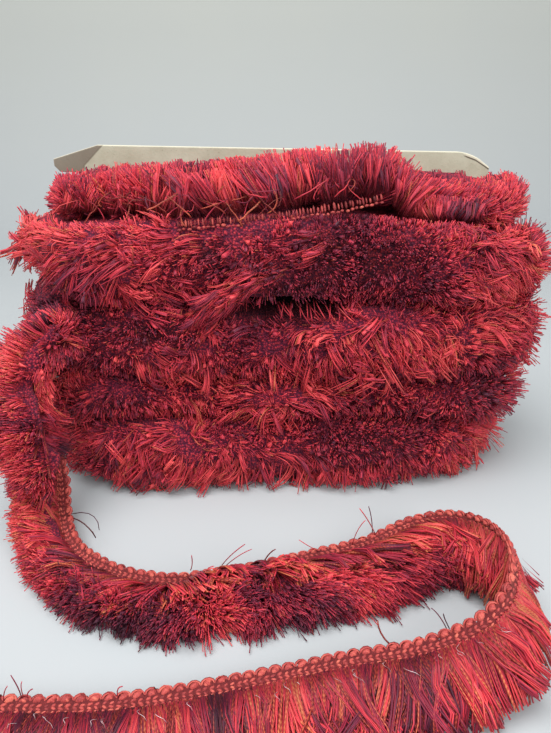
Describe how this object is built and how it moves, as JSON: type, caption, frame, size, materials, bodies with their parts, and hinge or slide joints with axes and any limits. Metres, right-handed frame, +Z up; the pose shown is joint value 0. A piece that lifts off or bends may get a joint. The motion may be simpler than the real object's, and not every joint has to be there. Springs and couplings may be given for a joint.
{
  "type": "roll of brush fringe trim",
  "caption": "Red brush fringe trim wound in fluffy stacked turns round an upright chipboard card, with a loose end lying in an S in front of it.",
  "frame": {"origin": "middle of the flat spot that the roll stands on", "axes": "+X to the right along the card, +Y away from the viewer, towards the back of the roll, +Z up"},
  "size_m": [0.3105, 0.282, 0.1858],
  "materials": {
    "card": "matte grey-beige chipboard",
    "fringe": "glossy cut rayon yarn, bright to dark red",
    "braid": "woven rust-red yarn with a scalloped edge"
  },
  "bodies": {
    "root": {"winding_card": "card", "wound_trim": "fringe", "loose_braid": "braid", "loose_fringe_drop": "fringe", "loose_fringe_bend": "fringe", "loose_fringe_run_left": "fringe", "loose_fringe_run_middle": "fringe", "loose_fringe_run_right": "fringe", "loose_fringe_rise": "fringe", "loose_fringe_fall": "fringe", "loose_fringe_return_right": "fringe", "loose_fringe_return_left": "fringe"}
  },
  "joints": []
}
